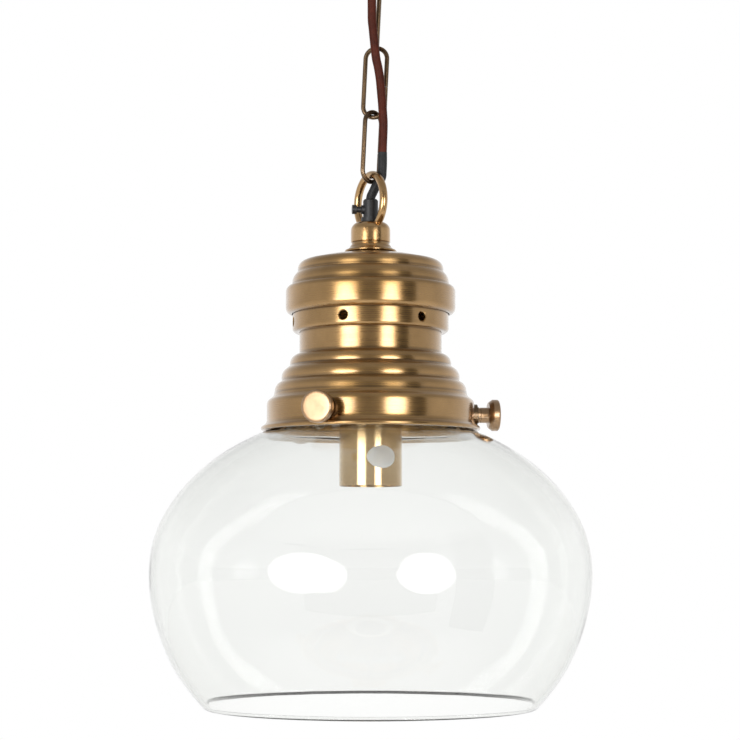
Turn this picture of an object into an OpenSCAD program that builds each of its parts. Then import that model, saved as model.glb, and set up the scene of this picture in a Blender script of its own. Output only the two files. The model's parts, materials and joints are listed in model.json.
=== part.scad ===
// Pendant light: a clear blown-glass shade in a spun brass gallery, hung on three
// links of chain from a hook in a ceiling rose, with the flex led down the chain.
// Millimetres, +Z up. The origin is on the ceiling, in line with the hook, and the
// lamp hangs below it. Heights inside the lamp are counted up from the gallery's
// lower edge.

/* [Glass shade] */
// Widest diameter of the shade
glass_d = 300; // [250:1:360]
// Thickness of the glass
glass_wall = 3.5; // [3:0.5:5]
// Height of the upper half of the belly, as the semi-axis of its ellipse
glass_upper_h = 110; // [90:1:132]
// Height of the lower half of the belly, as the semi-axis of its ellipse
glass_lower_h = 136; // [112:1:165]
// Diameter of the open mouth, outside
mouth_d = 225; // [180:1:240]
// Outside diameter of the neck that stands in the gallery
glass_neck_d = 122; // [112:1:123]
// Radius of the rolled bead round the top of the neck
glass_bead_r = 2.6; // [2:0.1:3]
// Radius of the hollow between neck and shoulder
glass_cove_r = 5; // [4:0.5:6]
// Clearance between the shoulder of the glass and the gallery's edge
shoulder_gap = 1.8; // [0.5:0.1:4]

/* [Gallery] */
// Diameter of the plain band that carries the thumbscrews
gallery_d = 142; // [138:1:172]
// Height of the plain band, flange included
band_h = 17.5; // [16:0.5:21]
// How far the flange stands out from the band
flange_out = 4; // [3:0.5:5]
// Diameter of the neck
neck_d = 97.6; // [90:0.1:104]
// Height of the neck between upper bead and vent ring
neck_h = 14.9; // [10:0.1:20]
// How far the upper bead stands out from the neck
upper_bead_out = 6.5; // [5:0.1:8]
// How far the lower bead stands out from the upper one
lower_bead_out = 5.7; // [4:0.1:7]
// Thickness of the spun brass
sheet = 1; // [0.8:0.1:1.2]

/* [Vent ring and cap] */
// Diameter of the vent ring
vent_d = 107.2; // [104:0.1:112]
// Height of the vent ring that shows
vent_h = 12.7; // [11:0.1:16]
// Number of vent holes
vent_count = 6; // [4:1:10]
// Diameter of each vent hole
vent_hole_d = 6.5; // [4:0.1:8]
// Diameter of the cap's band
cap_d = 116.6; // [114:0.1:140]
// Height of the cap's band
cap_band_h = 20.3; // [18:0.1:25]
// Height of the crown of the cap above its upper step
cap_crown_h = 13.5; // [12:0.1:17]

/* [Thumbscrews] */
// Diameter of the flat head
head_d = 21.6; // [18:0.1:26]
// Thickness of the head
head_h = 8.1; // [6:0.1:10]
// Diameter of the hub behind the head
hub_d = 10.6; // [8:0.1:12]
// Length of the hub
hub_h = 7.5; // [6:0.1:10]
// Diameter of the screw
screw_d = 5; // [4:0.5:6]
// How far a screw backs out to free the glass
screw_travel = 4; // [3.8:0.1:4.2]
// Diameter of the bush that the screw runs in
bush_d = 15; // [12:0.1:16]
// How far the bush stands out from the band
bush_h = 2.5; // [1.5:0.1:3]
// Height of the screws above the gallery's lower edge
screw_z = 11.2; // [10.5:0.1:12]

/* [Suspension loop] */
// Radius of the ring, to the middle of its wire
ring_r = 19; // [16:0.5:23]
// Thickness of the ring
ring_wire = 5.5; // [4:0.1:6.5]
// Turn of the ring's plane about the lamp's axis
ring_turn = -62; // [-90:1:90]
// Diameter of the domed base
base_d = 27.2; // [24:0.1:33]
// Height of the domed base
base_h = 14.4; // [13:0.1:17]
// Height of the turned collar under the base
collar_h = 6.8; // [5:0.1:8]

/* [Chain] */
// Outside length of a link
link_l = 52; // [44:1:62]
// Outside width of a link
link_w = 18.4; // [16:0.1:22]
// Thickness of the link's wire
link_wire = 3.2; // [2.6:0.1:3.8]
// Width of the open joint in a link
link_slot = 0.5; // [0.3:0.1:2]
// Lean of the chain from plumb
chain_lean = 2.8; // [0:0.1:5]
// Turn of the lower link's plane
lower_turn = 43; // [40:1:60]
// Clearance where one link, hook or ring hangs in the next
hang_gap = 0.3; // [0.2:0.05:0.5]

/* [Hook and ceiling rose] */
// Radius of the hook, to the middle of its wire
hook_r = 9; // [8:0.5:11]
// Thickness of the hook's wire
hook_wire = 4.5; // [4:0.1:5.5]
// Diameter of the hook's threaded stem
stem_d = 6; // [5:0.5:8]
// Diameter of the ceiling rose
rose_d = 108; // [100:1:130]
// Height of the ceiling rose
rose_h = 34; // [30:1:42]
// Distance between the two ceiling screw holes
fixing_pitch = 60; // [50:1:70]
// Diameter of each ceiling screw hole
fixing_d = 5; // [4:0.1:6]

/* [Flex] */
// Diameter of the flex
flex_d = 6; // [5:0.1:7]
// Diameter of the shrink sleeve on the flex
sleeve_d = 6.4; // [5.4:0.1:7.4]
// Diameter of one conductor
core_d = 2; // [1.6:0.1:2.4]

/* [Lampholder] */
// Diameter of the brass cover
holder_d = 43; // [40:0.5:51]
// How far the cover reaches below the gallery
holder_drop = 37.3; // [30:0.1:45]
// Thickness of the cover
holder_wall = 0.8; // [0.6:0.1:1.2]
// Inside diameter of the screw shell
shell_d = 26.6; // [26.6:0.1:28]
// Length of the screw shell
shell_h = 24; // [20:0.5:26]
// Outside diameter of the threaded hanger tube
tube_d = 10; // [9.5:0.5:10.5]
// Bore of the hanger tube
tube_bore = 7.2; // [7:0.1:7.6]

/* [Hidden] */
$fn = 72;

// Clearances
turn_gap = 0.05;
press_gap = 0.02;
soft_gap = 0.3;
end_gap = 0.1;

// Aged brass, steel, glass and the rest, as the object shows them
brass = "#a8854f";
dark_brass = "#7d684c";
steel = "#9a9c9e";
black_nylon = "#1c1c1e";
flex_brown = "#4a2a22";

// Hanging chain: places along the line of the chain, from the hook's wire down
bow_r = (link_w - link_wire) / 2;
link_step = link_l - 2 * link_wire - hang_gap;
hook_wire_z = -(rose_h + 6.1 + 2 * hook_r + hook_wire / 2);
upper_link_s = hook_wire / 2 + link_wire / 2 + hang_gap - (link_l - link_wire);
middle_link_s = upper_link_s - link_step;
lower_link_s = middle_link_s - link_step;
ring_top_s = lower_link_s + link_wire / 2 + ring_wire / 2 + hang_gap;
upper_turn = 90;
middle_turn = -12;

// Heights in the lamp, from the gallery's lower edge
gallery_r = gallery_d / 2;
neck_r = neck_d / 2;
flare_z = band_h + 9.5;
lower_bead_z = band_h + 18.6;
upper_bead_z = band_h + 28.1;
neck_z = upper_bead_z + 6.7;
vent_z = neck_z + neck_h;
cap_z = vent_z + vent_h;
step_z = cap_z + cap_band_h;
crown_z = step_z + 9.1;
cap_top_z = crown_z + cap_crown_h;
base_z = cap_top_z + collar_h;
base_top_z = base_z + base_h;
ring_z = base_top_z - 4.95 + ring_r;
lamp_top_s = ring_z + ring_r;

// Place of the lamp below the hook
lamp_x = ring_top_s * sin(chain_lean);
lamp_z = hook_wire_z + ring_top_s * cos(chain_lean) - lamp_top_s;

// Shade
glass_r = glass_d / 2;
glass_neck_r = glass_neck_d / 2;
flange_r = gallery_r + flange_out;
lip_r = 1.5;
belly_z = -(glass_upper_h * sqrt(1 - pow(flange_r / glass_r, 2)) + shoulder_gap);
cove_x = glass_neck_r + glass_cove_r;
cove_end = 250;
cove_end_x = cove_x + glass_cove_r * cos(cove_end);
shoulder_turn = acos(cove_end_x / glass_r);
cove_z = belly_z + glass_upper_h * sin(shoulder_turn) - glass_cove_r * sin(cove_end);
mouth_turn = acos(mouth_d / glass_d);

// Thumbscrews: distances out from the lamp's axis
screw_turns = [-113.5, 6.5, 126.5];
soft_end_r = 3.2;
soft_end_l = 4;
soft_end_x = glass_neck_r + soft_gap;
screw_tip_x = soft_end_x + 1.1;
bush_face_x = gallery_r + bush_h;
hub_x = bush_face_x + 0.5;
head_x = hub_x + hub_h;
glass_bead_z = screw_z + soft_end_r + soft_gap + glass_bead_r;

// Tube, nuts and bridge
tube_r = tube_d / 2;
nut_h = 5;
nut_af = 14;
bridge_z = vent_z - 3;
bridge_h = 2;
holder_top_z = 18;
tube_end_z = holder_top_z - nut_h - 2;
tube_top_z = base_z + 5.4;
grip_foot_z = tube_top_z + soft_gap;
grip_top_z = min(base_top_z + 16, ring_z + ring_r - 17);
grip_r = 5.2;
insert_top_z = -2;
insert_end_z = -holder_drop + 4;
shell_end_z = insert_end_z + 1;
insert_r = holder_d / 2 - holder_wall - 0.2;
sticker_turn = -69;
sticker_z = -18.3;

// Ceiling rose
rose_r = rose_d / 2;
bar_h = 2.5;
bar_w = 16;
boss_h = 9.5;
ear_x = rose_r - sheet - 1.2;
side_screw_z = -8;
bush_place = [-6, -22];
block_size = [16, 24, 13];
block_x = -17;
earth_x = 17;

// Route of the flex, by its middle: across from the lamp's axis, and a fraction of
// the height from the ring's top to the rose; the last stretch counts from the bush
ring_top_z = ring_z + ring_r;
chain_span = -rose_h - lamp_z - ring_top_z;
flex_low = [
    [8.3, -1.6, 0.1], [8.6, -3, 0.16], [8.9, -4.6, 0.22], [8.6, -5.8, 0.26], [8.1, -6.2, 0.31],
    [7.4, -6.8, 0.36], [6.5, -8, 0.42], [5.2, -9.6, 0.47], [3.8, -10.7, 0.51],
    [2.7, -11.8, 0.57], [1.6, -12.7, 0.64], [1, -13.3, 0.68]
];
flex_high = [[0.5, 7.2, 0.77], [0.2, 3.8, 0.86], [0, 0.8, 0.94], [0, 0, 0.98]];
flex_route = concat(
    [for (p = flex_low) [p[0], p[1], ring_top_z + p[2] * chain_span]],
    [
        for (p = flex_high)
            [bush_place[0] + p[0] - lamp_x, bush_place[1] + p[1], ring_top_z + p[2] * chain_span]
    ],
    [[bush_place[0] - lamp_x, bush_place[1], -rose_h + 7 - lamp_z]]
);
// Route of the sleeve: down past the ring's top, then into the grip
sleeve_high = [[8.4, -1.7, 11], [8.3, -1.7, 6], [8.1, -1.6, 2], [7.8, -1.6, -1], [6.5, -1.9, -4]];
sleeve_route = concat(
    [flex_route[0]],
    [for (p = sleeve_high) [p[0], p[1], ring_top_z + p[2]]],
    [
        [3.9, -1.7, grip_top_z + 9.4], [1.7, -0.8, grip_top_z + 5.4],
        [0.4, -0.1, grip_top_z + 2.4], [0, 0, grip_top_z + 0.2], [0, 0, grip_top_z - 1.6]
    ]
);

// Points along a circle, from one angle to another
function arc(x, z, r, from, to, n) =
    [for (i = [0:n]) let (a = from + (to - from) * i / n) [x + r * cos(a), z + r * sin(a)]];
// Points along an ellipse about the axis
function bulge(z, r, h, from, to, n) =
    [for (i = [0:n]) let (a = from + (to - from) * i / n) [r * cos(a), z + h * sin(a)]];
function unit(v) = v / norm(v);
function side(v) = [-v[1], v[0]];
function step_at(path, i) = unit(path[min(i + 1, len(path) - 1)] - path[min(i, len(path) - 2)]);
// The same outline, moved in by the thickness of the sheet
function moved_in(path, t) = [
    for (i = [0:len(path) - 1])
        let (a = side(step_at(path, max(i - 1, 0))), b = side(step_at(path, i)))
        path[i] - t * (a + b) / (1 + a * b)
];
function backwards(path) = [for (i = [len(path) - 1:-1:0]) path[i]];
function shortened(path) = [for (i = [0:len(path) - 2]) path[i]];
function sheet_of(path, t) = concat(path, backwards(moved_in(path, t)));

// Ring of points round one place of a swept tube
function tube_ring(at, along, r, n) =
    let (
        across = unit(cross(along, [0, 1, 0.01])),
        up = cross(along, across)
    )
    [for (k = [0:n - 1]) at + r * (cos(360 * k / n) * across + sin(360 * k / n) * up)];
function course(route, i) =
    unit(route[min(i + 1, len(route) - 1)] - route[max(i - 1, 0)]);
function tube_points(route, r, n) = [
    for (i = [0:len(route) - 1])
        let (along = i == 0 || i == len(route) - 1 ? end_course(route, i) : course(route, i))
        each tube_ring(route[i], along, r, n)
];
// A tube's ends are cut level where it runs plumb into its seat
function end_course(route, i) =
    let (way = course(route, i)) abs(way[2]) > 0.9 ? [0, 0, sign(way[2])] : way;
function tube_faces(rings, n) = concat(
    [[for (k = [0:n - 1]) k]],
    [
        for (i = [0:rings - 2], k = [0:n - 1])
            each let (
                a = i * n + k,
                b = i * n + (k + 1) % n,
                c = (i + 1) * n + k,
                d = (i + 1) * n + (k + 1) % n
            )
            [[a, c, b], [b, c, d]]
    ],
    [[for (k = [n - 1:-1:0]) (rings - 1) * n + k]]
);

module soft_tube(route, d, n) {
    polyhedron(points = tube_points(route, d / 2, n), faces = tube_faces(len(route), n));
}

module in_lamp() {
    translate([lamp_x, 0, lamp_z])
        children();
}

module along_chain(s, turn) {
    translate([0, 0, hook_wire_z])
        rotate([0, chain_lean, 0])
            translate([0, 0, s])
                rotate([0, 0, turn])
                    children();
}

// A turned or spun piece of sheet metal
module spun(path, t) {
    rotate_extrude()
        polygon(sheet_of(path, t));
}

module ring_of(outer, inner, from, to) {
    translate([0, 0, from])
        difference() {
            cylinder(r = outer, h = to - from);
            translate([0, 0, -1])
                cylinder(r = inner, h = to - from + 2);
        }
}

module hex_nut(af, bore_r, h) {
    difference() {
        cylinder(d = af / cos(30), h = h, $fn = 6);
        translate([0, 0, -1])
            cylinder(r = bore_r, h = h + 2);
    }
}

// Chain

module bow(from) {
    rotate([90, 0, 0])
        rotate([0, 0, from])
            rotate_extrude(angle = 180)
                translate([bow_r, 0])
                    circle(d = link_wire, $fn = 24);
}

// One link: two bows and two limbs, the right limb left open where the wire's ends meet
module link() {
    limb = link_l - link_wire - 2 * bow_r;
    translate([0, 0, bow_r]) {
        bow(180);
        translate([0, 0, limb])
            bow(0);
        translate([-bow_r, 0, 0])
            cylinder(d = link_wire, h = limb, $fn = 24);
        translate([bow_r, 0, 0])
            difference() {
                cylinder(d = link_wire, h = limb, $fn = 24);
                translate([-link_wire, -link_wire, limb * 0.4])
                    cube([2 * link_wire, 2 * link_wire, link_slot]);
            }
    }
}

module upper_link() {
    color(dark_brass)
        along_chain(upper_link_s, upper_turn)
            link();
}

module middle_link() {
    color(dark_brass)
        along_chain(middle_link_s, middle_turn)
            link();
}

module lower_link() {
    color(dark_brass)
        along_chain(lower_link_s, lower_turn)
            link();
}

// Ceiling end

// Open hook: three hundred degrees of wire round the link, and its stem
module ceiling_hook() {
    color(brass)
        translate([0, 0, hook_wire_z + hook_r]) {
            rotate([90, 0, 0])
                rotate([0, 0, 150])
                    rotate_extrude(angle = 300)
                        translate([hook_r, 0])
                            circle(d = hook_wire, $fn = 24);
            translate([0, 0, hook_r])
                cylinder(d = stem_d, h = -hook_wire_z - 2 * hook_r - bar_h - 1.5);
        }
}

module hook_locknut() {
    color(steel)
        translate([0, 0, -bar_h - boss_h - nut_h])
            hex_nut(stem_d + 4, stem_d / 2 + turn_gap, nut_h);
}

module hook_collar() {
    color(brass)
        translate([0, 0, -rose_h - 5.8])
            rotate_extrude()
                polygon(concat(
                    [[stem_d / 2 + turn_gap, 5.7], [stem_d / 2 + turn_gap, 0]],
                    arc(stem_d / 2 + 2.4, 1.2, 1.2, -90, 0, 4),
                    arc(stem_d / 2 + 7, 2.4, 3.4, 180, 110, 5),
                    [[stem_d / 2 + 5.8, 5.7]]
                ));
}

// Outline of the rose, from its middle hole to its rim against the ceiling
rose_path = concat(
    [[stem_d / 2 + 0.6, -rose_h + 0.1]],
    [[rose_r - 22, -rose_h + 0.1 + 1.6]],
    arc(rose_r - 19.4, -rose_h + 11.2, 9.4, -70, -8, 7),
    arc(rose_r - 5.6, -rose_h + 15.6, 5.6, -84, 0, 7),
    [[rose_r, -0.3]]
);

module rose_cover() {
    color(brass)
        difference() {
            mirror([0, 0, 1])
                rotate_extrude()
                    polygon([for (p = sheet_of(
                        [for (q = rose_path) [q[0], -q[1]]], sheet)) p]);
            for (s = [0, 180])
                rotate([0, 0, s])
                    translate([ear_x - 3, 0, side_screw_z])
                        rotate([0, 90, 0])
                            cylinder(r = 2.2, h = 12);
            translate([bush_place[0], bush_place[1], -rose_h - 2])
                cylinder(r = 5.6, h = 8);
        }
}

// Bar with a boss for the hook and an ear turned down at each end
module ceiling_bracket() {
    color(steel)
        difference() {
            union() {
                translate([-ear_x, -bar_w / 2, -bar_h])
                    cube([2 * ear_x, bar_w, bar_h]);
                for (s = [-1, 1])
                    translate([s * (ear_x - bar_h / 2) - bar_h / 2, -5, -13])
                        cube([bar_h, 10, 13]);
                translate([0, 0, -bar_h - boss_h])
                    cylinder(d = 14, h = boss_h + 1);
            }
            translate([0, 0, -bar_h - boss_h - 1])
                cylinder(d = stem_d + 2 * turn_gap, h = boss_h + 1);
            for (s = [-1, 1]) {
                translate([s * fixing_pitch / 2, 0, -bar_h - 1])
                    cylinder(d = fixing_d, h = bar_h + 2);
                translate([s * (ear_x - bar_h / 2), 0, side_screw_z])
                    rotate([0, 90, 0])
                        cylinder(r = 2 + turn_gap, h = bar_h + 2, center = true);
            }
            translate([earth_x, 0, -bar_h - 1])
                cylinder(r = 2 + turn_gap, h = bar_h + 0.5);
        }
}

module rose_side_screws() {
    color(brass)
        for (s = [0, 180])
            rotate([0, 0, s])
                translate([rose_r + 0.2, 0, side_screw_z])
                    rotate([0, 90, 0]) {
                        intersection() {
                            cylinder(r = 3.6, h = 2.4);
                            translate([0, 0, -2.4])
                                sphere(r = 4.8);
                        }
                        translate([0, 0, -7])
                            cylinder(r = 2, h = 7.5);
                    }
}

// Bush that grips the flex where it leaves the rose
module rose_cord_bush() {
    color(black_nylon)
        translate([bush_place[0], bush_place[1], -rose_h])
            difference() {
                union() {
                    translate([0, 0, -2])
                        cylinder(r = 7.6, h = 1.8);
                    translate([0, 0, -2])
                        cylinder(r = 5.5, h = 9);
                    translate([0, 0, 3.1])
                        cylinder(r = 7, h = 2.4);
                }
                translate([0, 0, -3])
                    cylinder(r = flex_d / 2 + 0.15, h = 20);
            }
}

// Nylon connector block with three ways, hung under the bar
module terminal_block() {
    color("#e8e6df")
        translate([block_x, 0, -bar_h - block_size[2]])
            difference() {
                translate([-block_size[0] / 2, -block_size[1] / 2, 0])
                    cube(block_size);
                for (k = [-1:1])
                    translate([0, 8 * k, 0]) {
                        translate([-block_size[0], 0, 6.5])
                            rotate([0, 90, 0])
                                cylinder(r = 1.8, h = 2 * block_size[0], $fn = 24);
                        for (s = [-1, 1])
                            translate([4 * s, 0, -1])
                                cylinder(r = 1.8, h = 6, $fn = 24);
                    }
                for (k = [-1, 1])
                    translate([-block_size[0], 4 * k - 0.6, -1])
                        cube([2 * block_size[0], 1.2, 10]);
            }
}

module terminal_screws() {
    color(brass)
        for (k = [-1:1], s = [-1, 1])
            translate([block_x + 4 * s, 8 * k, -bar_h - block_size[2] + 0.4])
                cylinder(r = 1.7, h = 3.6, $fn = 24);
}

module earth_screw() {
    color(brass)
        translate([earth_x, 0, -bar_h]) {
            translate([0, 0, -3])
                cylinder(r = 3.6, h = 3);
            translate([0, 0, -1])
                cylinder(r = 2, h = 2.2);
        }
}

// Three conductors from the flex's end to the block's far side and the earth screw
module rose_conductors() {
    foot = [bush_place[0], bush_place[1], -rose_h + 7.1];
    far_x = block_x - block_size[0] / 2 - 0.3;
    block_z = -bar_h - block_size[2] + 6.5;
    color("#6b4a2a")
        soft_tube([
            foot + [-1.3, -0.7, 0], foot + [-1.6, -0.6, 4], foot + [-8, 0, 9],
            [far_x - 4, -14, block_z - 2], [far_x - 4, -9, block_z], [far_x, -8, block_z]
        ], core_d, 8);
    color("#3d5f95")
        soft_tube([
            foot + [0, 1.5, 0], foot + [-0.2, 2.2, 4], foot + [-6, 4.5, 6.5],
            [far_x - 2, -12, block_z - 7], [far_x - 5, -3, block_z - 2], [far_x, 0, block_z]
        ], core_d, 8);
    color("#7f9a3a")
        soft_tube([
            foot + [1.3, -0.7, 0], foot + [2.2, -0.4, 4], foot + [9, 4, 8],
            [earth_x - 5, -9, -9.5], [earth_x - 1, -6.5, -7], [earth_x, -5, -4.8]
        ], core_d, 8);
}

// Flex

module flex_cord() {
    color(flex_brown)
        in_lamp()
            soft_tube(flex_route, flex_d, 10);
}

module cord_sleeve() {
    color("#2c2c2e")
        in_lamp()
            soft_tube(sleeve_route, sleeve_d, 10);
}

module inner_flex() {
    color(flex_brown)
        in_lamp()
            translate([0, 0, tube_end_z + 1])
                cylinder(d = flex_d, h = grip_top_z - tube_end_z - 2.7);
}

// Suspension loop and cord grip

base_path = concat(
    [[tube_r + turn_gap, base_top_z]],
    arc(base_d / 2 - 6, base_top_z - 6, 6, 88, 0, 8),
    [[base_d / 2, base_z], [tube_r + turn_gap, base_z]]
);

// Cast ring standing in a domed base, bored through for the tube and the grip
module suspension_loop() {
    color(brass)
        in_lamp()
            difference() {
                union() {
                    rotate_extrude()
                        polygon(base_path);
                    translate([0, 0, ring_z])
                        rotate([0, 0, ring_turn])
                            rotate([90, 0, 0])
                                rotate_extrude($fn = 96)
                                    translate([ring_r, 0])
                                        circle(d = ring_wire, $fn = 24);
                }
                translate([0, 0, base_z - 1])
                    cylinder(r = tube_r + turn_gap, h = base_h + 3);
            }
}

// Turned collar, hollow-sided, between the loop's base and the cap
module loop_collar() {
    foot_r = base_d / 2 + 4.3;
    color(brass)
        in_lamp()
            rotate_extrude()
                polygon(concat(
                    [[tube_r + turn_gap, base_z - 0.1], [base_d / 2 - 0.4, base_z - 0.1]],
                    [[base_d / 2 - 0.4, base_z - 1.6]],
                    arc(foot_r + 0.2, base_z - 0.9, 4.3, 198, 262, 6),
                    arc(foot_r - 0.9, cap_top_z + 0.9, 0.9, 60, -90, 4),
                    [[tube_r + turn_gap, cap_top_z + end_gap]]
                ));
}

// Black grip on the loop's base, with its pinch screw to the left
module cord_grip() {
    color(black_nylon)
        in_lamp()
            difference() {
                union() {
                    translate([0, 0, grip_foot_z])
                        cylinder(r = tube_r, h = base_top_z - grip_foot_z + 1);
                    translate([0, 0, base_top_z + 0.1])
                        cylinder(r = 6.6, h = 3);
                    translate([0, 0, base_top_z + 1])
                        cylinder(r = grip_r, h = grip_top_z - base_top_z - 2);
                    translate([0, 0, grip_top_z - 1])
                        cylinder(r1 = grip_r, r2 = grip_r - 0.9, h = 1);
                    translate([0, 0, base_top_z + 8.8])
                        rotate([0, -90, 8])
                            cylinder(r = 3.1, h = 6.6);
                }
                translate([0, 0, grip_foot_z - 1])
                    cylinder(r = sleeve_d / 2 + press_gap, h = 40);
                translate([0, 0, base_top_z + 8.8])
                    rotate([0, -90, 8])
                        cylinder(r = 2.1 + turn_gap, h = 9);
            }
}

module grip_screw() {
    color(black_nylon)
        in_lamp()
            translate([0, 0, base_top_z + 8.8])
                rotate([0, -90, 8]) {
                    translate([0, 0, sleeve_d / 2 + end_gap])
                        cylinder(r = 2.1, h = 7);
                    translate([0, 0, 9.9])
                        cylinder(r = 3.2, h = 2.9);
                }
}

// Tube and nuts

module hanger_tube() {
    color(brass)
        in_lamp()
            ring_of(tube_r, tube_bore / 2, tube_end_z, tube_top_z);
}

module tube_nuts() {
    places = [
        bridge_z + bridge_h + end_gap, bridge_z - nut_h - end_gap,
        holder_top_z + holder_wall + end_gap, holder_top_z - nut_h - end_gap
    ];
    color(steel)
        in_lamp()
            for (z = places)
                translate([0, 0, z])
                    hex_nut(nut_af, tube_r + turn_gap, nut_h);
}

// Cap, vent ring and gallery

// Outline of the cap, from its middle hole down to its turned-in edge
cap_r = cap_d / 2;
crown_r = cap_r - 8.2;
cap_path = concat(
    arc(0, cap_top_z - 165, 165, 88.1, 90 - asin((crown_r - 5) / 165), 6),
    arc(crown_r - 5.8, crown_z + 1.7, 5.8, 74, 0, 6),
    arc(cap_r - 13.3, step_z + 1.3, 8.9, 54, 0, 6),
    [[cap_r - 4.4, step_z]],
    arc(cap_r - 4.3, step_z - 4.9, 4.3, 86, 0, 6),
    arc(cap_r - 4.6, cap_z + 4.5, 4.6, 0, -84, 7)
);

module cap() {
    color(brass)
        in_lamp()
            spun(cap_path, sheet);
}

// Outline of the vent ring, from under the cap down and in to the neck
vent_r = vent_d / 2;
vent_path = concat(
    [[vent_r, step_z - 1.4]],
    arc(vent_r - 2.8, vent_z + 2.8, 2.8, 0, -90, 6),
    [[neck_r + turn_gap, vent_z]]
);

module vent_ring() {
    color(brass)
        in_lamp()
            difference() {
                spun(vent_path, sheet);
                for (k = [0:vent_count - 1])
                    rotate([0, 0, -110 + 360 / vent_count * k])
                        translate([0, 0, vent_z + vent_h * 0.54])
                            rotate([0, 90, 0])
                                cylinder(d = vent_hole_d, h = vent_r + 5, $fn = 36);
            }
}

// Outline of the gallery, from the top of its neck down to the flange
upper_bead_r = neck_r + upper_bead_out;
lower_bead_r = upper_bead_r + lower_bead_out;
gallery_path = concat(
    [[neck_r, vent_z + 2.8]],
    arc(upper_bead_r - 6.7, upper_bead_z, 6.7, 88, -12, 8),
    arc(lower_bead_r - 7.7, lower_bead_z, 7.7, 68, -16, 8),
    arc(gallery_r - 12.2, flare_z, 6.8, 68, 4, 6),
    arc(gallery_r - 0.7, flare_z - 1.2, 4.4, 182, 232, 4),
    arc(gallery_r - 4.6, band_h, 4.6, 66, 0, 6),
    arc(gallery_r + flange_out + 1, 7.4, flange_out + 1, 180, 240, 5)
);

module gallery_hole(turn) {
    rotate([0, 0, turn])
        translate([gallery_r - 5, 0, screw_z])
            rotate([0, 90, 0])
                cylinder(r = bush_d / 2 - 3, h = 10);
}

module gallery() {
    color(brass)
        in_lamp()
            difference() {
                rotate_extrude()
                    polygon(concat(
                        gallery_path,
                        arc(flange_r - lip_r, lip_r, lip_r, 90, -170, 10),
                        backwards(shortened(moved_in(gallery_path, sheet)))
                    ));
                for (turn = screw_turns)
                    gallery_hole(turn);
            }
}

// Steel strap across the neck, which the tube's nuts clamp
module bridge_bar() {
    in_r = neck_r - sheet - soft_gap / 2;
    color(steel)
        in_lamp()
            difference() {
                intersection() {
                    union() {
                        translate([-neck_r, -9, bridge_z])
                            cube([2 * neck_r, 18, bridge_h]);
                        difference() {
                            translate([-neck_r, -9, bridge_z - 6])
                                cube([2 * neck_r, 18, 7]);
                            translate([0, 0, bridge_z - 7])
                                cylinder(r = in_r - bridge_h, h = 9);
                        }
                    }
                    translate([0, 0, bridge_z - 10])
                        cylinder(r = in_r, h = 20);
                }
                translate([0, 0, bridge_z - 1])
                    cylinder(r = tube_r + turn_gap, h = bridge_h + 2);
                for (s = [-1, 1])
                    translate([s * 26, 0, bridge_z - 1])
                        cylinder(r = 5, h = bridge_h + 2);
            }
}

// Thumbscrews

module at_screw(k) {
    in_lamp()
        rotate([0, 0, screw_turns[k]])
            translate([0, 0, screw_z])
                rotate([0, 90, 0])
                    children();
}

// Space that the band and the flange fill, a hair larger
module band_room() {
    skin = gallery_r + press_gap;
    rotate_extrude($fn = 360)
        polygon([
            [gallery_r - 15, -1], [gallery_r + 6, -1], [gallery_r + 1.7, 3.8],
            [gallery_r + 0.6, 5.5], [skin, 7.5], [skin, band_h + 2], [gallery_r - 15, band_h + 2]
        ]);
}

// Bush riveted in the band: a disc outside, a tapped spigot through the wall
module screw_bushes() {
    spigot_r = bush_d / 2 - 3 - press_gap;
    color(dark_brass)
        for (k = [0:2])
            difference() {
                union() {
                    difference() {
                        at_screw(k)
                            translate([0, 0, gallery_r - 3])
                                cylinder(d = bush_d, h = bush_h + 3);
                        in_lamp()
                            band_room();
                    }
                    at_screw(k)
                        translate([0, 0, gallery_r - sheet - 0.4])
                            cylinder(r = spigot_r, h = sheet + 1.4);
                }
                at_screw(k)
                    cylinder(r = screw_d / 2 + turn_gap, h = gallery_r + 20);
            }
}

// Flat round head with turned edges, hub and screw in one piece
module thumbscrew(k) {
    edge = 1.1;
    color(brass)
        at_screw(k)
            rotate_extrude()
                polygon([
                    [0, screw_tip_x], [screw_d / 2 - 0.5, screw_tip_x],
                    [screw_d / 2, screw_tip_x + 0.5], [screw_d / 2, hub_x],
                    [hub_d / 2 + 0.4, hub_x], [hub_d / 2 + 0.4, hub_x + 1.2],
                    [hub_d / 2 - 0.3, hub_x + 1.5], [hub_d / 2 - 0.3, hub_x + 2.1],
                    [hub_d / 2, hub_x + 2.4], [hub_d / 2, head_x],
                    [head_d / 2 - 2 * edge, head_x], [head_d / 2, head_x + 2 * edge],
                    [head_d / 2, head_x + head_h - edge], [head_d / 2 - edge, head_x + head_h],
                    [0, head_x + head_h]
                ]);
}

// Soft cap on the end of a thumbscrew, against the glass
module screw_end(k) {
    color("#d9d6cc")
        at_screw(k)
            translate([0, 0, soft_end_x])
                difference() {
                    cylinder(r = soft_end_r, h = soft_end_l, $fn = 36);
                    translate([0, 0, 1])
                        cylinder(r = screw_d / 2 + turn_gap, h = soft_end_l, $fn = 36);
                }
}

module thumbscrew_1() {
    thumbscrew(0);
}

module thumbscrew_2() {
    thumbscrew(1);
}

module thumbscrew_3() {
    thumbscrew(2);
}

module screw_end_1() {
    screw_end(0);
}

module screw_end_2() {
    screw_end(1);
}

module screw_end_3() {
    screw_end(2);
}

// Shade

// Outline of the glass, from its neck below the bead over the belly to the mouth
glass_path = concat(
    [[glass_neck_r, glass_bead_z - glass_bead_r - 0.05]],
    arc(cove_x, cove_z, glass_cove_r, 180, cove_end, 6),
    bulge(belly_z, glass_r, glass_upper_h, shoulder_turn - 3, 0, 13),
    bulge(belly_z, glass_r, glass_lower_h, -4, -mouth_turn, 10)
);

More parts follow.
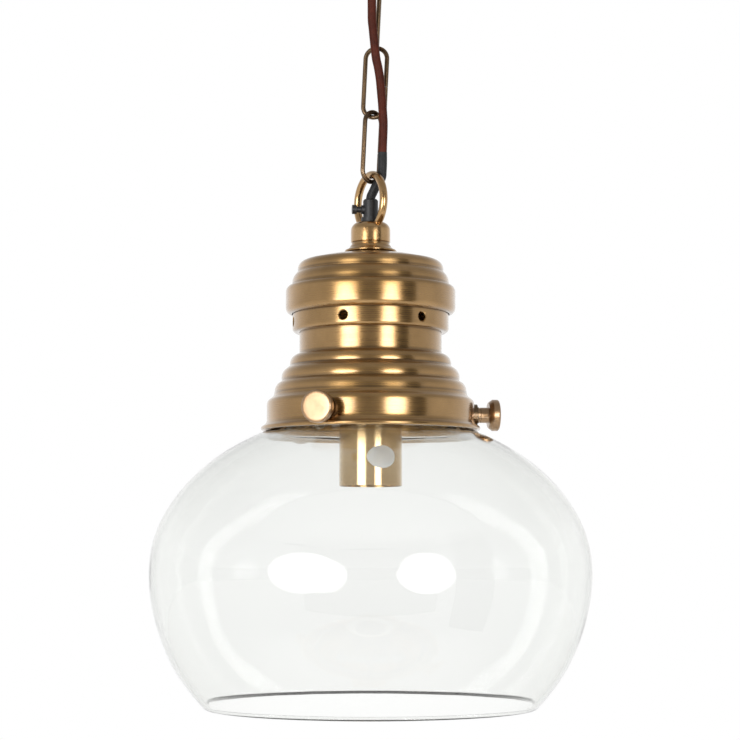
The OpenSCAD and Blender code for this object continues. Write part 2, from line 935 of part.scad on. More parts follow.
module glass_shade() {
    color("#dfe6e2", 0.35)
        in_lamp()
            rotate_extrude($fn = 120)
                polygon(concat(
                    [[glass_neck_r - glass_wall, glass_bead_z + glass_bead_r - 2.2]],
                    [[glass_neck_r - glass_wall + 1, glass_bead_z + glass_bead_r - 0.7]],
                    arc(glass_neck_r + 0.3, glass_bead_z, glass_bead_r, 115, -94, 12),
                    sheet_of(glass_path, glass_wall)
                ));
}

// Lampholder

module holder_cover() {
    r = holder_d / 2;
    color(brass)
        in_lamp()
            difference() {
                rotate_extrude()
                    polygon(concat(
                        [[tube_r + turn_gap, holder_top_z + holder_wall]],
                        arc(r - 2, holder_top_z + holder_wall - 2, 2, 90, 0, 4),
                        [[r, -holder_drop], [r - holder_wall, -holder_drop]],
                        arc(r - 2, holder_top_z + holder_wall - 2, 2 - holder_wall, 0, 90, 4),
                        [[tube_r + turn_gap, holder_top_z]]
                    ));
            }
}

// Ceramic body: a cup for the screw shell, with two pillars for its terminals
module holder_insert() {
    color("#ece8dd")
        in_lamp()
            difference() {
                translate([0, 0, insert_end_z])
                    cylinder(r = insert_r, h = insert_top_z - insert_end_z);
                translate([0, 0, insert_end_z - 1])
                    cylinder(r = shell_d / 2 + 1, h = shell_h + 1 + 2.2);
                for (s = [-1, 1])
                    translate([s * 13, 0, insert_top_z - 4.6])
                        cylinder(r = 2, h = 6, $fn = 24);
            }
}

module screw_shell() {
    color(brass)
        in_lamp()
            ring_of(
                shell_d / 2 + 0.8, shell_d / 2,
                shell_end_z, shell_end_z + shell_h);
}

// Spring tongue in the floor of the cup
module centre_contact() {
    strip = 0.6;
    strip_z = insert_end_z + shell_h + 2.2 - end_gap - strip;
    rivet_z = shell_end_z + shell_h + 2 * end_gap;
    color(brass)
        in_lamp() {
            translate([-3, -9, strip_z])
                cube([6, 12, strip]);
            translate([0, 0, rivet_z])
                cylinder(r = 2.6, h = strip_z + strip / 2 - rivet_z);
        }
}

// Live and neutral screws on the insert, earth screw under the cover's top
module holder_terminals() {
    color(brass)
        in_lamp() {
            for (s = [-1, 1])
                translate([s * 13, 0, insert_top_z]) {
                    translate([0, 0, -4.4])
                        cylinder(r = 1.9, h = 5, $fn = 24);
                    translate([0, 0, 0.1])
                        cylinder(r = 3, h = 2.2, $fn = 24);
                }
            translate([0, 13, holder_top_z - 2.6])
                cylinder(r = 3, h = 2.5, $fn = 24);
        }
}

// Conductors fan out below the tube to the three terminals
module holder_conductors() {
    z = tube_end_z;
    in_lamp() {
        for (s = [-1, 1])
            color(s < 0 ? "#6b4a2a" : "#3d5f95")
                soft_tube([
                    [1.4 * s, -0.6, z + 0.8], [1.6 * s, -0.6, z - 1.6], [4 * s, -0.3, z - 4.6],
                    [8 * s, 0, z - 6], [12 * s, 0, z - 7.6], [13 * s, 0, insert_top_z + 2.6]
                ], core_d, 8);
        color("#7f9a3a")
            soft_tube([
                [0, 1.7, z + 0.8], [0, 2, z - 1.8], [0, 4.6, z - 4.4],
                [0, 9.4, z - 3.4], [0, 12.4, z - 0.6], [0, 13, z + 1.6]
            ], core_d, 8);
    }
}

// Oval paper label, left blank
module blank_sticker() {
    half_w = 10.1;
    half_h = 7.6;
    r = holder_d / 2;
    color("white")
        in_lamp()
            intersection() {
                ring_of(r + 0.2, r + press_gap, sticker_z - 9, sticker_z + 9);
                rotate([0, 0, sticker_turn])
                    translate([0, 0, sticker_z])
                        rotate([90, 0, 90])
                            linear_extrude(height = r + 5)
                                polygon([
                                    for (k = [0:35])
                                        [half_w * cos(10 * k), half_h * sin(10 * k)]
                                ]);
            }
}

ceiling_bracket();
rose_cover();
rose_side_screws();
ceiling_hook();
hook_locknut();
hook_collar();
rose_cord_bush();
terminal_block();
terminal_screws();
earth_screw();
rose_conductors();
flex_cord();
upper_link();
middle_link();
lower_link();
cord_sleeve();
cord_grip();
grip_screw();
suspension_loop();
loop_collar();
hanger_tube();
tube_nuts();
cap();
vent_ring();
gallery();
bridge_bar();
screw_bushes();
thumbscrew_1();
thumbscrew_2();
thumbscrew_3();
screw_end_1();
screw_end_2();
screw_end_3();
glass_shade();
holder_cover();
holder_insert();
screw_shell();
centre_contact();
holder_terminals();
holder_conductors();
inner_flex();
blank_sticker();
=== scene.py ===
# %% [markdown]
# A pendant light, built as a lesson
# A clear blown-glass shade hangs from three thumbscrews in a spun brass gallery. The gallery hangs
# on a ring, three links of chain and a hook under a ceiling rose, and a brown flex runs beside the chain.
# The mechanics come from the CAD frame. This script gives each visible piece its real form and finish.

import json
from math import acos, asin, cos, degrees, pi, radians, sin, sqrt

import bpy
from mathutils import Matrix, Vector


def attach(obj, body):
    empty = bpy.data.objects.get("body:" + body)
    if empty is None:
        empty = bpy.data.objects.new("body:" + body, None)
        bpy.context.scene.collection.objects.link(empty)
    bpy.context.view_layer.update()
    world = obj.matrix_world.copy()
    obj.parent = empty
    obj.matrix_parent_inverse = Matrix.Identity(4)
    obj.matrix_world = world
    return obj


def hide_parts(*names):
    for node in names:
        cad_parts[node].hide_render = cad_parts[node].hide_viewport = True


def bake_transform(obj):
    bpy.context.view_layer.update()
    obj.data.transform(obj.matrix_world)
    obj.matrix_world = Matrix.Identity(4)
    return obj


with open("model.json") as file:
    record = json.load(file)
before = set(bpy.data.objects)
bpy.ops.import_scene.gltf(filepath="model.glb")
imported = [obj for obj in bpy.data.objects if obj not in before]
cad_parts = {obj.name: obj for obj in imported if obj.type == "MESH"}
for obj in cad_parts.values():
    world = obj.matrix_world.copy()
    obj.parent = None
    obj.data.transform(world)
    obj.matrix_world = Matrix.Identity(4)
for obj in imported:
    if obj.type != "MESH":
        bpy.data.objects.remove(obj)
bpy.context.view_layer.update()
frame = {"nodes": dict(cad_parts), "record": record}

# %% [markdown]
# Sizes are written in millimetres, as in the CAD source, and turned to metres in one place.
# Heights inside the lamp count up from the lower edge of the gallery, and distances out from the lamp's axis,
# so one profile can be read like a turner's drawing.

# %% Sizes and places
MM = 0.001
LAMP = Vector((-6.38, 0, -367.84)) * MM


def lamp_point(x, y, z):
    """A place in the lamp's own heights, in millimetres, as a point of the scene."""
    return LAMP + Vector((x, y, z)) * MM


print("the lamp's axis is at", tuple(round(v, 4) for v in LAMP))

# %% [markdown]
# The camera stands level with the lower part of the shade and looks slightly up, so the rings of the brass
# arch upwards. The fit came from the curve of each ring in the photograph: the lower a ring is,
# the flatter it looks, and the height where a ring would be a line is the height of the lens.

# %% Camera
CAMERA_BACK = 1366 * MM
CAMERA_DROP = 81.2 * MM
CAMERA_PITCH = 5.143
CAMERA_LENS = 97.3

bpy.ops.object.camera_add(
    location=(LAMP.x - 0.4 * MM, -CAMERA_BACK, LAMP.z - CAMERA_DROP),
    rotation=(radians(90 + CAMERA_PITCH), 0, 0),
)
camera = bpy.context.object
camera.name = "photo_camera"
camera.data.lens = CAMERA_LENS
camera.data.sensor_width = 36
bpy.context.scene.camera = camera
print("camera lens", camera.data.lens, "mm")

# %% [markdown]
# Colours are written as the hex values that a colour picker shows. Blender's sockets want linear light,
# so one function turns the one into the other. A second small function adds a node with its settings
# and links, which keeps each material short enough to read.

# %% Colour and node helpers


def colour(hex_value):
    """An sRGB hex value as linear red, green, blue and a full alpha."""
    parts = [int(hex_value[i:i + 2], 16) / 255 for i in (1, 3, 5)]
    linear = [p / 12.92 if p <= 0.04045 else ((p + 0.055) / 1.055) ** 2.4 for p in parts]
    return (*linear, 1.0)


def add_node(tree, kind, inputs=(), **settings):
    """Adds one node. inputs pairs a socket with a value, or with the output that feeds it."""
    node = tree.nodes.new(kind)
    for key, value in settings.items():
        setattr(node, key, value)
    for socket, value in dict(inputs).items():
        if isinstance(value, bpy.types.NodeSocket):
            tree.links.new(value, node.inputs[socket])
        else:
            node.inputs[socket].default_value = value
    return node


def new_material(name, **shader):
    """A material with one Principled shader, its plain sockets set, ready for more nodes."""
    made = bpy.data.materials.new(name)
    made.use_nodes = True
    bsdf = made.node_tree.nodes["Principled BSDF"]
    for key, value in shader.items():
        bsdf.inputs[key.replace("_", " ")].default_value = value
    return made, made.node_tree, bsdf


def ramp(tree, factor, stops):
    """A colour ramp between places from 0 to 1, each with a hex colour or a grey level."""
    node = add_node(tree, "ShaderNodeValToRGB", {"Fac": factor})
    elements = node.color_ramp.elements
    elements[0].position, elements[-1].position = stops[0][0], stops[-1][0]
    for place, value in stops[1:-1]:
        elements.new(place)
    for element, (place, value) in zip(elements, stops):
        element.color = colour(value) if isinstance(value, str) else (value, value, value, 1)
    return node.outputs["Color"]


# %% [markdown]
# The flex is 3-core round cable in a smooth brown jacket, 6 mm thick. It leaves the bush in the rose,
# hangs in front of the chain, and slips into a black shrink sleeve before the cord grip.
# A cable is easiest as a curve with a round bevel. The chain under it has a joint at each link,
# so the cable is cut in the middle of each link, and each length lies across one joint only.

# %% Route of the flex
FLEX_D = 6.0 * MM
SLEEVE_D = 6.4 * MM
FLEX_ROUTE = [
    (-0.0060, -0.0220, -0.0270), (-0.0060, -0.0220, -0.0371), (-0.0060, -0.0212, -0.0434),
    (-0.0058, -0.0182, -0.0560), (-0.0055, -0.0148, -0.0701), (-0.0054, -0.0133, -0.0842),
    (-0.0048, -0.0127, -0.0904), (-0.0037, -0.0118, -0.1014), (-0.0026, -0.0107, -0.1108),
    (-0.0012, -0.0096, -0.1171), (0.0001, -0.0080, -0.1249), (0.0010, -0.0070, -0.1343),
    (0.0017, -0.0064, -0.1422), (0.0022, -0.0060, -0.1500), (0.0025, -0.0048, -0.1563),
    (0.0022, -0.0032, -0.1657), (0.0019, -0.0018, -0.1751),
]
SLEEVE_ROUTE = [
    (0.0019, -0.0018, -0.1751), (0.0019, -0.0018, -0.1798), (0.0018, -0.0018, -0.1848),
    (0.0016, -0.0018, -0.1888), (0.0014, -0.0018, -0.1918), (0.0002, -0.0020, -0.1948),
    (-0.0025, -0.0018, -0.1984), (-0.0045, -0.0009, -0.2025), (-0.0060, -0.0001, -0.2055),
    (-0.0064, 0.0, -0.2077), (-0.0064, 0.0, -0.2095),
]


def smooth_route(points, step=1.2 * MM):
    """The same route as an even line of close points, rounded between the chosen ones."""
    points = [Vector(p) for p in points]
    padded = [2 * points[0] - points[1]] + points + [2 * points[-1] - points[-2]]
    line = []
    for a, b, c, d in zip(padded, padded[1:], padded[2:], padded[3:]):
        parts = max(2, round((c - b).length / step))
        for k in range(parts):
            t = k / parts
            line.append(
                0.5 * (2 * b + (c - a) * t + (2 * a - 5 * b + 4 * c - d) * t * t + (3 * b - a - 3 * c + d) * t**3)
            )
    return line + [points[-1]]


def route_length(line):
    return sum((b - a).length for a, b in zip(line, line[1:]))


# One line for both, so the sleeve takes over where the flex ends
whole_route = smooth_route(FLEX_ROUTE + SLEEVE_ROUTE[1:])
sleeve_start = min(range(len(whole_route)), key=lambda i: (whole_route[i] - Vector(FLEX_ROUTE[-1])).length)
flex_line, sleeve_line = whole_route[:sleeve_start + 1], whole_route[sleeve_start:]
print("flex", round(route_length(flex_line), 4), "m, sleeve", round(route_length(sleeve_line), 4), "m")

# %% [markdown]
# The jacket is extruded PVC: smooth, with a soft sheen, and a faint waviness from the cores twisted inside it.
# The sleeve is shrunk polyolefin, matt and nearly black. Both get their colour from noise that is
# stretched little, because neither has a grain.

# %% Cable materials
flex_pvc, tree, bsdf = new_material("brown_pvc_jacket", Roughness=0.55, Specular_IOR_Level=0.15)
place = add_node(tree, "ShaderNodeTexCoord").outputs["Object"]
mottle = add_node(tree, "ShaderNodeTexNoise", {"Vector": place, "Scale": 160, "Detail": 3}).outputs["Fac"]
tree.links.new(ramp(tree, mottle, [(0.3, "#40190d"), (0.7, "#562416")]), bsdf.inputs["Base Color"])
fine = add_node(tree, "ShaderNodeTexNoise", {"Vector": place, "Scale": 900, "Detail": 2}).outputs["Fac"]
bump = add_node(tree, "ShaderNodeBump", {"Height": fine, "Strength": 0.12, "Distance": 0.1 * MM})
tree.links.new(bump.outputs["Normal"], bsdf.inputs["Normal"])

sleeve_skin, tree, bsdf = new_material("black_shrink_sleeve", Roughness=0.55, Specular_IOR_Level=0.3)
place = add_node(tree, "ShaderNodeTexCoord").outputs["Object"]
mottle = add_node(tree, "ShaderNodeTexNoise", {"Vector": place, "Scale": 220, "Detail": 3}).outputs["Fac"]
tree.links.new(ramp(tree, mottle, [(0.3, "#1c1c1d"), (0.7, "#2b2b2c")]), bsdf.inputs["Base Color"])
bump = add_node(tree, "ShaderNodeBump", {"Height": mottle, "Strength": 0.2, "Distance": 0.15 * MM})
tree.links.new(bump.outputs["Normal"], bsdf.inputs["Normal"])
print("cable materials:", flex_pvc.name, sleeve_skin.name)

# %% Make and cut the cable


def deselect():
    bpy.ops.object.select_all(action="DESELECT")


def cable(name, line, diameter, skin):
    """A round cable along a line, as a mesh with closed ends."""
    deselect()
    shape = bpy.data.curves.new(name, "CURVE")
    shape.dimensions = "3D"
    spline = shape.splines.new("POLY")
    spline.points.add(len(line) - 1)
    for point, place in zip(spline.points, line):
        point.co = (*place, 1)
    shape.bevel_depth = diameter / 2
    shape.bevel_resolution = 6
    shape.use_fill_caps = True
    piece = bpy.data.objects.new(name, shape)
    bpy.context.collection.objects.link(piece)
    bpy.context.view_layer.objects.active = piece
    piece.select_set(True)
    bpy.ops.object.convert(target="MESH")
    piece = bpy.context.object
    piece.name = name
    piece.data.materials.append(skin)
    bpy.ops.object.shade_smooth_by_angle(angle=radians(50))
    return piece


# Heights at which one length ends in mid-link and the next begins
FLEX_CUTS = [-0.0840, -0.1290]
FLEX_BODIES = [("ceiling", "upper_link"), ("upper_link", "middle_link"), ("middle_link", "lower_link")]
cuts = [0] + [min(range(len(flex_line)), key=lambda i: abs(flex_line[i].z - z)) for z in FLEX_CUTS]
cuts.append(len(flex_line) - 1)
for k, (first, second) in enumerate(FLEX_BODIES):
    line = flex_line[cuts[k]:cuts[k + 1] + 1]
    piece = cable(f"flex_{('top', 'middle', 'bottom')[k]}", line, FLEX_D, flex_pvc)
    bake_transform(piece)
    print(piece.name, round(route_length(line), 4), "m between", first, "and", second)

sleeve = cable("shrink_sleeve", sleeve_line, SLEEVE_D, sleeve_skin)
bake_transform(sleeve)
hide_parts("cord_sleeve")
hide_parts("flex_cord")

# %% [markdown]
# All the spun and turned pieces come from one way of working: a vertex is led round the outline of half a
# cross-section by extrusion, as a turner's tool would be, and the line is spun about the axis.
# The outline holds both faces of the sheet, so the wall has its real thickness and its edges are real edges.

# %% Turning helpers


def bend(x, z, radius, start, end, step=1.0):
    """Points on an arc about (x, z), from one angle to another, about step millimetres apart."""
    parts = max(2, round(abs(radians(end - start)) * radius / step))
    angles = [radians(start + (end - start) * k / parts) for k in range(parts + 1)]
    return [(x + radius * cos(a), z + radius * sin(a)) for a in angles]


def moved_in(path, wall):
    """The outline's other face, one wall thickness to the inside."""
    points = [Vector(p) for p in path]
    ways = [(b - a).normalized() for a, b in zip(points, points[1:])]
    ways = [ways[0]] + ways + [ways[-1]]
    inside = []
    for point, before, after in zip(points, ways, ways[1:]):
        a, b = Vector((-before.y, before.x)), Vector((-after.y, after.x))
        inside.append(tuple(point - (a + b) * (wall / (1 + a.dot(b)))))
    return inside


def shell(path, wall):
    """A closed outline: the outer face, then back along the inner one."""
    return path + moved_in(path, wall)[::-1]


def edit_all():
    """Edit mode with every point selected. The last select mode would otherwise still hold."""
    bpy.ops.object.mode_set(mode="EDIT")
    bpy.ops.mesh.select_mode(type="VERT")
    bpy.ops.mesh.select_all(action="SELECT")


def close_seams():
    """Merges points that lie in one place and drops faces without area, in edit mode."""
    bpy.ops.mesh.select_all(action="SELECT")
    bpy.ops.mesh.remove_doubles(threshold=0.002 * MM)
    bpy.ops.mesh.dissolve_degenerate(threshold=0.002 * MM)


def turned(name, outline, steps=160, closed=True, origin=LAMP, along=(0, 0, 1), out=(1, 0, 0)):
    """A turned piece. The outline gives distance out and height along, in millimetres."""
    along, out = Vector(along), Vector(out)
    places = [origin + (out * r + along * h) * MM for r, h in outline]
    if closed:
        places.append(places[0])
    deselect()
    bpy.ops.mesh.primitive_plane_add(size=0.001, location=(0, 0, 0))
    piece = bpy.context.object
    piece.name = name
    edit_all()
    bpy.ops.mesh.merge(type="CENTER")
    bpy.ops.transform.translate(value=places[0])
    for a, b in zip(places, places[1:]):
        bpy.ops.mesh.extrude_region_move(TRANSFORM_OT_translate={"value": b - a})
    bpy.ops.mesh.select_all(action="SELECT")
    bpy.ops.mesh.remove_doubles(threshold=0.002 * MM)
    bpy.ops.mesh.spin(steps=steps, angle=2 * pi, center=origin, axis=along)
    close_seams()
    bpy.ops.mesh.normals_make_consistent(inside=False)
    bpy.ops.object.mode_set(mode="OBJECT")
    return piece


def apply_modifier(piece, kind, **settings):
    """Adds one modifier with its settings and applies it at once."""
    deselect()
    piece.select_set(True)
    bpy.context.view_layer.objects.active = piece
    modifier = piece.modifiers.new(kind.title(), kind)
    for key, value in settings.items():
        setattr(modifier, key, value)
    bpy.ops.object.modifier_apply(modifier=modifier.name)


def carve(piece, tool, operation="DIFFERENCE"):
    """Cuts the tool out of the piece, or joins it on, and throws the tool away."""
    apply_modifier(piece, "BOOLEAN", object=tool, operation=operation, solver="EXACT")
    bpy.data.objects.remove(tool)
    edit_all()
    close_seams()
    bpy.ops.object.mode_set(mode="OBJECT")


def rod(radius, start, end, sides=48, name="tool"):
    """A plain round tool between two points of the scene, for cutting holes."""
    start, end = Vector(start), Vector(end)
    deselect()
    bpy.ops.mesh.primitive_cylinder_add(
        vertices=sides, radius=radius * MM, depth=(end - start).length, location=(start + end) / 2,
        rotation=(end - start).to_track_quat("Z", "Y").to_euler(),
    )
    bpy.ops.object.transform_apply(location=True, rotation=True, scale=True)
    bpy.context.object.name = name
    return bpy.context.object


def finish_piece(piece, skin, body, slot, *nodes, crease=35):
    """Gives a piece its material, shading and body, and hides the CAD nodes it stands for."""
    deselect()
    piece.select_set(True)
    bpy.context.view_layer.objects.active = piece
    piece.data.materials.clear()
    piece.data.materials.append(skin)
    bpy.ops.object.shade_smooth_by_angle(angle=radians(crease))
    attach(piece, body)
    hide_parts(*nodes)
    print(piece.name, len(piece.data.polygons), "faces")
    return piece


# %% [markdown]
# The brass is spun or turned, coloured brown by a bath, brushed on the lathe and lacquered. The tool leaves fine
# lines round the axis, which stretch a reflection up and down. Real lines are about 0.1 mm apart, too fine to show
# at this distance, so they are drawn about 0.7 mm apart and weak. They follow height and radius, because that is
# how a lathe cuts them. A slow mottle keeps the bath's uneven tone. A ramp on the height darkens each groove and
# fades out beside it: partly the bath's dark brown, which polishing can't reach, and partly painted shade in the
# groove. The lines scatter light across themselves, so each streak is drawn out up and down the lamp: the shader's
# anisotropy does that, once it knows which way the lines run.

# %% Aged brass


# Heights of the grooves between the spun forms, in the lamp's own heights
GROOVES = (25.4, 34.4, 44.2, 53.0, 67.2, 79.9, 100.4, 109.6, 129.5)
GROOVE_HALF, GROOVE_TONE = 1.2, 0.5
GROOVE_FOOT, GROOVE_HEAD = -2.0, 150.0


def patina_and_painted_shade(tree, height):
    """Grey by height: 1 on the open metal, dark in each groove, partly patina and partly painted shade."""
    span = GROOVE_HEAD - GROOVE_FOOT
    level = add_node(
        tree, "ShaderNodeMapRange",
        {"Value": height, "From Min": GROOVE_FOOT * MM, "From Max": GROOVE_HEAD * MM}).outputs["Result"]
    stops = []
    for groove in GROOVES:
        for away, tone in ((-GROOVE_HALF, 1.0), (0, GROOVE_TONE), (GROOVE_HALF, 1.0)):
            stops.append(((groove + away - GROOVE_FOOT) / span, tone))
    return ramp(tree, level, stops)


def lathe_brass(name, deep, pale, rough, lines=0.12, line_mm=0.7):
    made, tree, bsdf = new_material(
        name, Metallic=1.0, Coat_Weight=0.8, Coat_Roughness=0.12, Anisotropic=0.8, Anisotropic_Rotation=0.25)
    place = add_node(tree, "ShaderNodeTexCoord").outputs["Object"]
    centred = add_node(tree, "ShaderNodeMapping", {"Vector": place, "Location": -LAMP}).outputs["Vector"]
    flat = add_node(
        tree, "ShaderNodeVectorMath", {0: centred, 1: (1, 1, 0)}, operation="MULTIPLY").outputs["Vector"]
    radius = add_node(tree, "ShaderNodeVectorMath", {0: flat}, operation="LENGTH").outputs["Value"]
    round_way = add_node(
        tree, "ShaderNodeVectorMath", {0: flat, 1: (0, 0, 1)}, operation="CROSS_PRODUCT").outputs["Vector"]
    along_line = add_node(
        tree, "ShaderNodeVectorTransform", {"Vector": round_way},
        vector_type="VECTOR", convert_from="OBJECT", convert_to="WORLD").outputs["Vector"]
    tree.links.new(along_line, bsdf.inputs["Tangent"])
    height = add_node(tree, "ShaderNodeSeparateXYZ", {"Vector": centred}).outputs["Z"]
    turning = add_node(tree, "ShaderNodeCombineXYZ", {"X": radius, "Z": height}).outputs["Vector"]
    cut = add_node(
        tree, "ShaderNodeTexNoise", {"Vector": turning, "Scale": 1000 / line_mm, "Detail": 2}).outputs["Fac"]
    tone = add_node(
        tree, "ShaderNodeTexNoise", {"Vector": centred, "Scale": 28, "Detail": 4, "Roughness": 0.6}).outputs["Fac"]
    skin = ramp(tree, tone, [(0.32, deep), (0.68, pale)])
    # The bath's colour times the groove ramp: patina and painted shade darken each groove
    aged_and_shaded = add_node(
        tree, "ShaderNodeVectorMath", {0: skin, 1: patina_and_painted_shade(tree, height)}, operation="MULTIPLY").outputs["Vector"]
    tree.links.new(aged_and_shaded, bsdf.inputs["Base Color"])
    level = ramp(tree, cut, [(0.25, rough - 0.05), (0.75, rough + 0.07)])
    tree.links.new(level, bsdf.inputs["Roughness"])
    bump = add_node(tree, "ShaderNodeBump", {"Height": cut, "Strength": lines, "Distance": 0.02 * MM})
    tree.links.new(bump.outputs["Normal"], bsdf.inputs["Normal"])
    return made


aged_brass = lathe_brass("lathe_brushed_aged_brass", "#9a7746", "#b18c5a", 0.28)
# The lampholder's cover is plainer and paler, brushed but not bathed
holder_brass = lathe_brass("turned_pale_brass", "#b3966a", "#c6ab80", 0.2, lines=0.25)
print("made", aged_brass.name, holder_brass.name)

# %% [markdown]
# The ring, its domed base and the collar are the same brass, but polished rather than brushed, so they look paler and
# sharper. The chain and hook are wire, drawn and bent, and handled a lot: darker, with uneven tone and no lathe lines.

# %% Polished and wire brass


def cast_brass(name, deep, pale, rough, grain_mm, relief, coat=0.6):
    made, tree, bsdf = new_material(name, Metallic=1.0, Coat_Weight=coat, Coat_Roughness=0.1)
    place = add_node(tree, "ShaderNodeTexCoord").outputs["Object"]
    tone = add_node(tree, "ShaderNodeTexNoise", {"Vector": place, "Scale": 90, "Detail": 4}).outputs["Fac"]
    tree.links.new(ramp(tree, tone, [(0.3, deep), (0.7, pale)]), bsdf.inputs["Base Color"])
    grain = add_node(
        tree, "ShaderNodeTexNoise", {"Vector": place, "Scale": 1000 / grain_mm, "Detail": 3}).outputs["Fac"]
    tree.links.new(ramp(tree, grain, [(0.3, rough - 0.06), (0.7, rough + 0.08)]), bsdf.inputs["Roughness"])
    bump = add_node(tree, "ShaderNodeBump", {"Height": grain, "Strength": relief, "Distance": 0.05 * MM})
    tree.links.new(bump.outputs["Normal"], bsdf.inputs["Normal"])
    return made


polished_brass = cast_brass("polished_cast_brass", "#ab8656", "#c09c6c", 0.2, 1.5, 0.06)
wire_brass = cast_brass("drawn_wire_brass", "#5e4a35", "#7c654b", 0.34, 3.0, 0.05, 0.3)
screw_brass = cast_brass("turned_screw_brass", "#927455", "#b1906c", 0.34, 0.8, 0.3)
print("made", polished_brass.name, wire_brass.name, screw_brass.name)

# %% [markdown]
# The gallery is one disc of sheet brass, spun over formers: a neck, two rounded beads, a flare and a plain band,
# ending in a rolled flange. The profile is drawn once from the measured radii and turned. Three holes in
# the band take the bushes of the thumbscrews.

# %% Gallery
GALLERY_R, NECK_R, SHEET = 71.0, 48.8, 1.0
BAND_H, VENT_Z, SCREW_Z = 17.5, 67.2, 11.2
FLANGE_R, LIP_R = GALLERY_R + 4, 1.5
UPPER_BEAD_R, LOWER_BEAD_R = NECK_R + 6.5, NECK_R + 12.2
SCREW_TURNS = (-113.5, 6.5, 126.5)

gallery_face = [(NECK_R, VENT_Z + 2.8), (NECK_R, VENT_Z - 3), (NECK_R, 60), (NECK_R, 53.4)]
gallery_face += bend(NECK_R + 0.5, 52.6, 0.5, 180, 250, 0.2)
gallery_face += bend(UPPER_BEAD_R - 6.7, BAND_H + 28.1, 6.7, 80, -10, 0.9)
gallery_face += bend(LOWER_BEAD_R - 7.7, BAND_H + 18.6, 7.7, 66, -16, 0.9)
gallery_face += bend(GALLERY_R - 12.2, BAND_H + 9.5, 6.8, 66, 4, 0.9)
gallery_face += bend(GALLERY_R - 0.7, BAND_H + 8.3, 4.4, 184, 232, 0.8)
gallery_face += bend(GALLERY_R - 4.6, BAND_H, 4.6, 64, 0, 0.7)
gallery_face += [(GALLERY_R, 15), (GALLERY_R, 11.2)]
gallery_face += bend(GALLERY_R + 5, 7.4, 5, 180, 238, 0.8)
gallery_back = moved_in(gallery_face, SHEET)[:-2]
lip = bend(FLANGE_R - LIP_R, LIP_R, LIP_R, 88, -168, 0.4)

gallery = turned("spun_gallery", gallery_face + lip + gallery_back[::-1], steps=192)
for turn in SCREW_TURNS:
    way = Vector((cos(radians(turn)), sin(radians(turn)), 0))
    middle = lamp_point(0, 0, SCREW_Z)
    carve(gallery, rod(4.5, middle + way * 60 * MM, middle + way * 80 * MM))
finish_piece(gallery, aged_brass, "lamp", "aged_brass", "gallery", crease=40)

# %% [markdown]
# Above the neck sits the vent ring, a shallow dish with six holes that let warm air out. Its holes are
# drilled and eased, which leaves a bright little cone round each. One stepped drill cuts both at once, as a
# countersink does. A cylinder and then a cone would meet edge on edge in each hole, and a Boolean can then
# leave a stray piece of the tool behind.

# %% Vent ring
VENT_R, STEP_Z = 53.6, 100.2
VENT_HOLE_R, VENT_HOLE_Z, VENT_FIRST = 3.15, VENT_Z + 6.86, -110

vent_face = [(VENT_R, STEP_Z - 1.4), (VENT_R, 90)]
vent_face += [(VENT_R, VENT_Z + h) for h in (12, 10.5, 9, 7.5, 6, 4.5)]
vent_face += bend(VENT_R - 2.8, VENT_Z + 2.8, 2.8, 0, -90, 0.5) + [(NECK_R + 0.1, VENT_Z)]
vent_ring = turned("vent_ring_dish", shell(vent_face, SHEET), steps=240)
# The drill, from its foot inside the ring to where its cone has opened out past the wall
ease_from, ease_wide = VENT_R - 0.6, 1.9
drill = [(0, 45), (VENT_HOLE_R, 45), (VENT_HOLE_R, ease_from)]
drill += [(VENT_HOLE_R + ease_wide, ease_from + ease_wide), (0, ease_from + ease_wide)]
for k in range(6):
    turn = radians(VENT_FIRST + 60 * k)
    way = Vector((cos(turn), sin(turn), 0))
    middle = lamp_point(0, 0, VENT_HOLE_Z)
    tool = turned("drill", drill, steps=44, closed=False, origin=middle, along=way, out=(0, 0, 1))
    carve(vent_ring, tool)
finish_piece(vent_ring, aged_brass, "lamp", "aged_brass", "vent_ring", crease=30)

# %% [markdown]
# The cap is spun too: a nearly flat crown, two rounded steps and a wide band whose edge is turned in under it.

# %% Cap
CAP_R, CAP_Z, CROWN_Z, CAP_TOP = 58.3, 79.9, 109.3, 122.8
CROWN_R, CROWN_DOME = CAP_R - 8.2, 165.0

crown_end = 90 - degrees(asin((CROWN_R - 5) / CROWN_DOME))
cap_face = bend(0, CAP_TOP - CROWN_DOME, CROWN_DOME, 88.2, crown_end, 3)
cap_face += bend(CROWN_R - 5.8, CROWN_Z + 1.7, 5.8, 72, 0, 0.8)
cap_face += bend(CAP_R - 13.3, STEP_Z + 1.3, 8.9, 54, 0, 0.9)
cap_face += bend(CAP_R - 4.3, STEP_Z - 4.9, 4.3, 86, 0, 0.7)
cap_face += [(CAP_R, 92), (CAP_R, 88)] + bend(CAP_R - 4.6, CAP_Z + 4.5, 4.6, 0, -84, 0.7)
cap = turned("spun_cap", shell(cap_face, SHEET), steps=192)
finish_piece(cap, aged_brass, "lamp", "aged_brass", "cap", crease=40)

# %% [markdown]
# Collar and suspension loop are turned and cast. The loop is a ring standing in a domed base, made in one piece:
# a torus is joined to the turned dome with a Boolean, and a bore cuts both, as the drill does.

# %% Collar and loop
BASE_R, BASE_Z, BASE_TOP = 13.6, 129.6, 144.0
RING_R, RING_WIRE, RING_TURN, RING_Z = 19.0, 5.5, -62.0, 158.05
TUBE_R = 5.05

collar = [(TUBE_R, BASE_Z - 0.1), (BASE_R - 0.5, BASE_Z - 0.1), (BASE_R - 0.4, BASE_Z - 1.5)]
collar += bend(BASE_R + 4.5, BASE_Z - 0.9, 4.3, 198, 260, 0.5)
collar += bend(BASE_R + 3.4, CAP_TOP + 0.9, 0.9, 60, -90, 0.3) + [(TUBE_R, CAP_TOP + 0.1)]
collar = turned("turned_collar", collar[::-1], steps=96)
finish_piece(collar, aged_brass, "lamp", "aged_brass", "loop_collar", crease=30)

